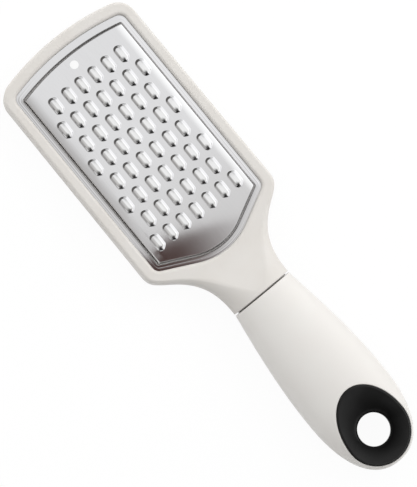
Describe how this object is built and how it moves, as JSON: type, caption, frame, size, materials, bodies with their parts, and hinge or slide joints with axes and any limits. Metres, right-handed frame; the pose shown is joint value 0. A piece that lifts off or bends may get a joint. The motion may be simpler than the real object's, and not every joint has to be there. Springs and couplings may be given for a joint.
{
  "type": "hand grater",
  "caption": "Hand-held coarse cheese grater: toothed steel plate in a moulded frame with a waisted neck, on a rounded handle with a hanging eyelet.",
  "frame": {"origin": "middle of the grater's plan, on the surface below the handle's back when the grater lies on its back", "axes": "+Y from the handle's tip to the top of the head, +Z out of the grating face, +X to the right seen from the front with the head up"},
  "size_m": [0.0696, 0.23, 0.022],
  "materials": {
    "frame_plastic": "warm grey-beige moulded plastic, fine matt grain",
    "plate_steel": "bright rolled stainless sheet, satin to bright",
    "handle_plastic": "off-white moulded plastic, satin",
    "eyelet_rubber": "black soft moulding, satin"
  },
  "bodies": {
    "root": {"head_frame": "frame_plastic", "plate_retainer": "frame_plastic", "grater_plate": "plate_steel", "handle_front": "handle_plastic", "handle_back": "handle_plastic", "eyelet_front": "eyelet_rubber", "eyelet_back": "eyelet_rubber"}
  },
  "joints": []
}
